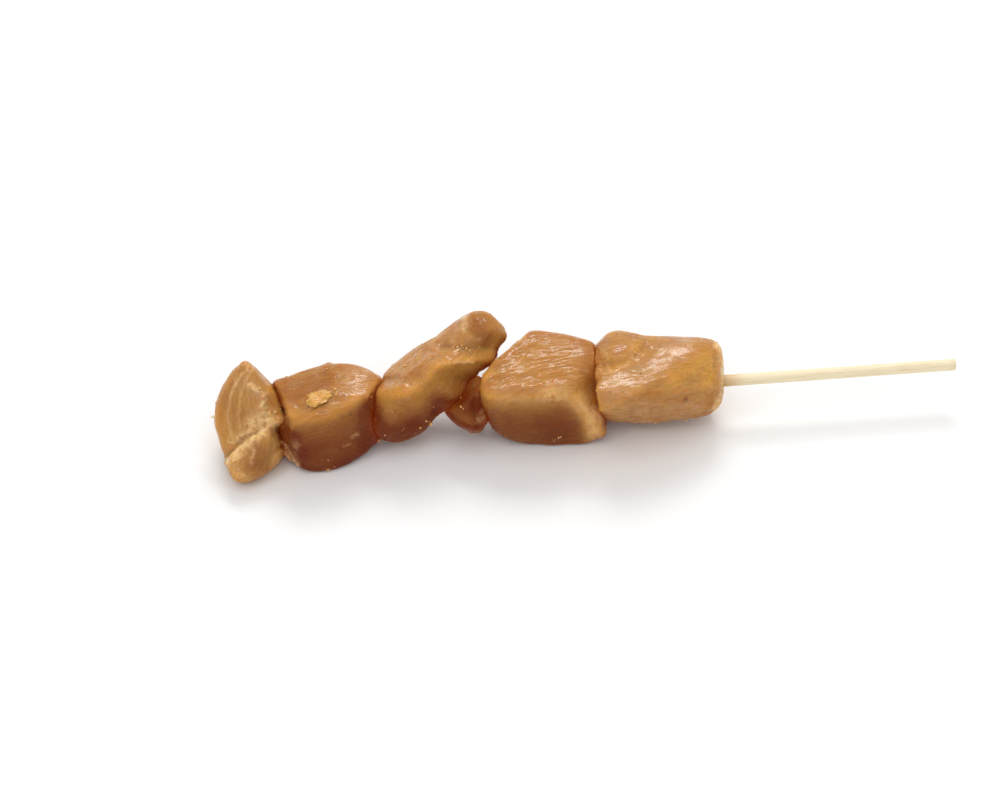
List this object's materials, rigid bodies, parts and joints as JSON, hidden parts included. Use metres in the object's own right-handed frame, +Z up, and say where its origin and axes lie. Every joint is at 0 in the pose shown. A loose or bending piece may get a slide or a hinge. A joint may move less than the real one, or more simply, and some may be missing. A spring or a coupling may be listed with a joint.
{
  "type": "marinated meat souvlaki skewer",
  "caption": "Raw marinated meat chunks threaded close together on a round bamboo skewer, lying on its side with the bare end of the stick as the handle.",
  "frame": {"origin": "middle of the whole object's footprint, on the table", "axes": "+X along the stick from its point to its blunt end, +Y away from the side that is seen, +Z up"},
  "size_m": [0.25, 0.0468, 0.0382],
  "materials": {
    "bamboo": "pale dry bamboo with fine lengthwise grain, satin",
    "meat": "raw meat wet with an oily caramel-coloured marinade, glossy and slightly translucent"
  },
  "bodies": {
    "root": {"stick": "bamboo", "chunk_1_moon": "meat", "chunk_2_block": "meat", "chunk_3_slab": "meat", "chunk_4_scrap": "meat", "chunk_5_cube": "meat", "chunk_6_roll": "meat"}
  },
  "joints": []
}
